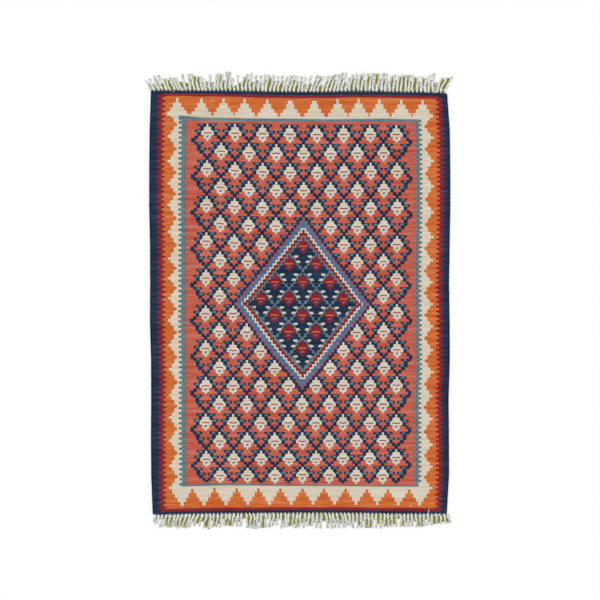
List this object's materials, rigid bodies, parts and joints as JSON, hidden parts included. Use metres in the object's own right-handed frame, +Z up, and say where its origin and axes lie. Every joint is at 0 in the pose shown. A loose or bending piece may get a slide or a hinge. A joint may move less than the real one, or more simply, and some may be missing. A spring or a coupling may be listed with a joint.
{
  "type": "kilim rug",
  "caption": "Flat-woven wool kilim rug with a stepped diamond medallion, a lattice of buds, a stepped border and a loose cotton fringe at each end, lying flat.",
  "frame": {"origin": "on the floor, under the middle of the whole footprint with its fringes", "axes": "+Y along the warps to the end with the longer fringe, +X across the warps, +Z up from the floor"},
  "size_m": [1.2806, 1.912, 0.004],
  "materials": {
    "woven_wool": "matt flatweave, tapestry ribs of dyed wool",
    "warp_cotton": "matt plied cotton, loose at the tips"
  },
  "bodies": {
    "root": {"cloth": "woven_wool", "fringe_top": "warp_cotton", "fringe_bottom": "warp_cotton"}
  },
  "joints": []
}
